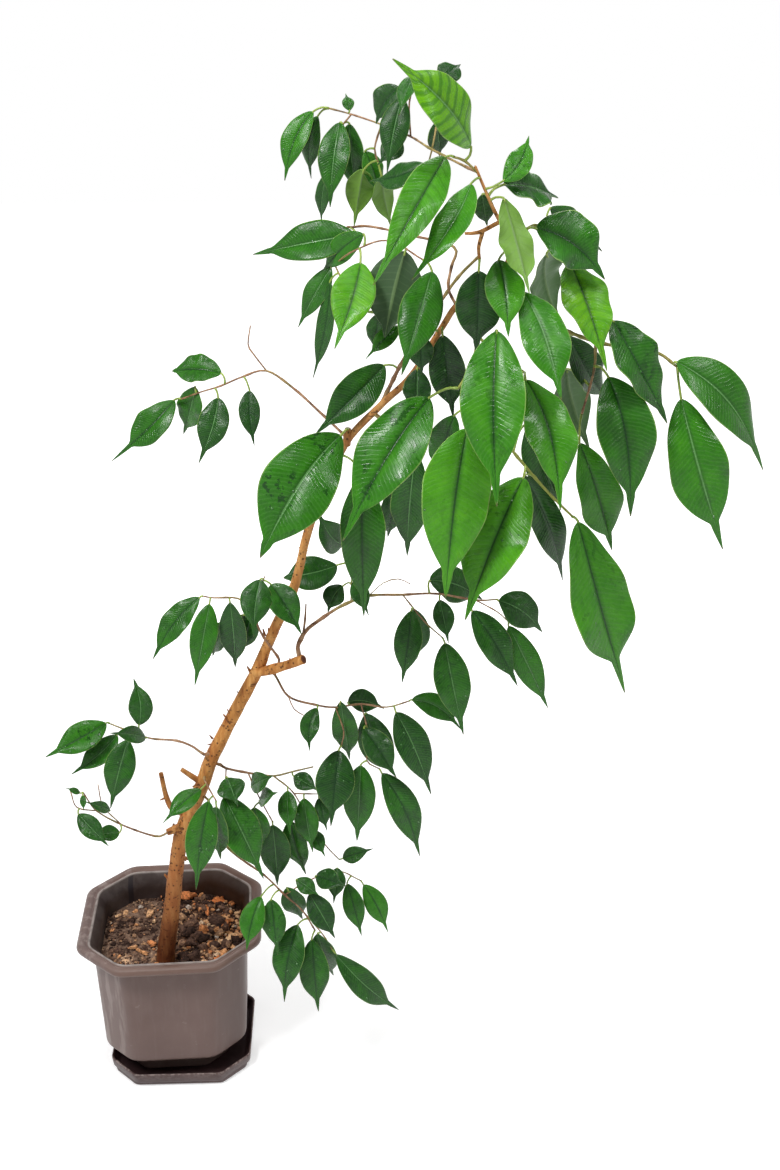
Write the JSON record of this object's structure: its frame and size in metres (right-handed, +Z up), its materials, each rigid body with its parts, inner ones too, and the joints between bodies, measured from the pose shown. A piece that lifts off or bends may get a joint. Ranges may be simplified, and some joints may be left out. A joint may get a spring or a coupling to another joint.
{
  "type": "ficus bonsai",
  "caption": "Leaning ficus bonsai with hanging pointed leaves on a bare curved trunk, potted in soil in an octagonal plastic pot on its saucer.",
  "frame": {"origin": "on the floor under the middle of the pot, in the plane of the saucer's underside", "axes": "+Z up along the plant; -Y out of the front of the pot; +X to the right, the way the trunk leans"},
  "size_m": [0.5096, 0.3495, 0.8444],
  "materials": {
    "saucer_plastic": "satin dark brown moulded plastic",
    "pot_plastic": "satin brown-grey moulded plastic, slightly dusty",
    "soil": "crumbly peat and bark potting mix",
    "bark": "tan-orange bark with dark flecks",
    "leaf": "glossy green leaf, paler and duller below"
  },
  "bodies": {
    "root": {"saucer": "saucer_plastic", "pot": "pot_plastic", "potting_soil": "soil", "trunk": "bark", "leaf_top_1": "leaf", "leaf_top_2": "leaf", "leaf_top_3": "leaf", "leaf_top_4": "leaf", "leaf_top_5": "leaf", "leaf_top_6": "leaf", "leaf_top_7": "leaf", "leaf_inner_1": "leaf", "leaf_inner_2": "leaf", "leaf_inner_3": "leaf", "leaf_inner_4": "leaf", "leaf_inner_5": "leaf", "leaf_high_right_1": "leaf", "leaf_high_right_2": "leaf", "leaf_high_right_3": "leaf", "leaf_high_right_4": "leaf", "leaf_right_1": "leaf", "leaf_right_2": "leaf", "leaf_right_3": "leaf", "leaf_right_4": "leaf", "leaf_right_5": "leaf", "leaf_right_6": "leaf", "leaf_right_7": "leaf", "leaf_right_8": "leaf", "leaf_front_1": "leaf", "leaf_front_2": "leaf", "leaf_front_left_1": "leaf", "leaf_front_left_2": "leaf", "leaf_front_left_3": "leaf", "leaf_front_left_4": "leaf", "leaf_front_left_5": "leaf", "leaf_front_low_1": "leaf", "leaf_front_low_2": "leaf", "leaf_front_low_3": "leaf", "leaf_front_low_4": "leaf", "leaf_front_low_5": "leaf", "leaf_front_low_6": "leaf", "leaf_front_low_7": "leaf", "far_left_shoot": "leaf", "low_left_shoot": "leaf", "low_right_shoot": "leaf", "lowest_left_shoot": "leaf", "lowest_right_shoot": "leaf", "mid_left_shoot": "leaf", "mid_right_shoot": "leaf", "mid_right_upper_shoot": "leaf", "top_left_shoot": "leaf", "trunk_side_shoot": "leaf", "upper_left_shoot": "leaf"}
  },
  "joints": []
}
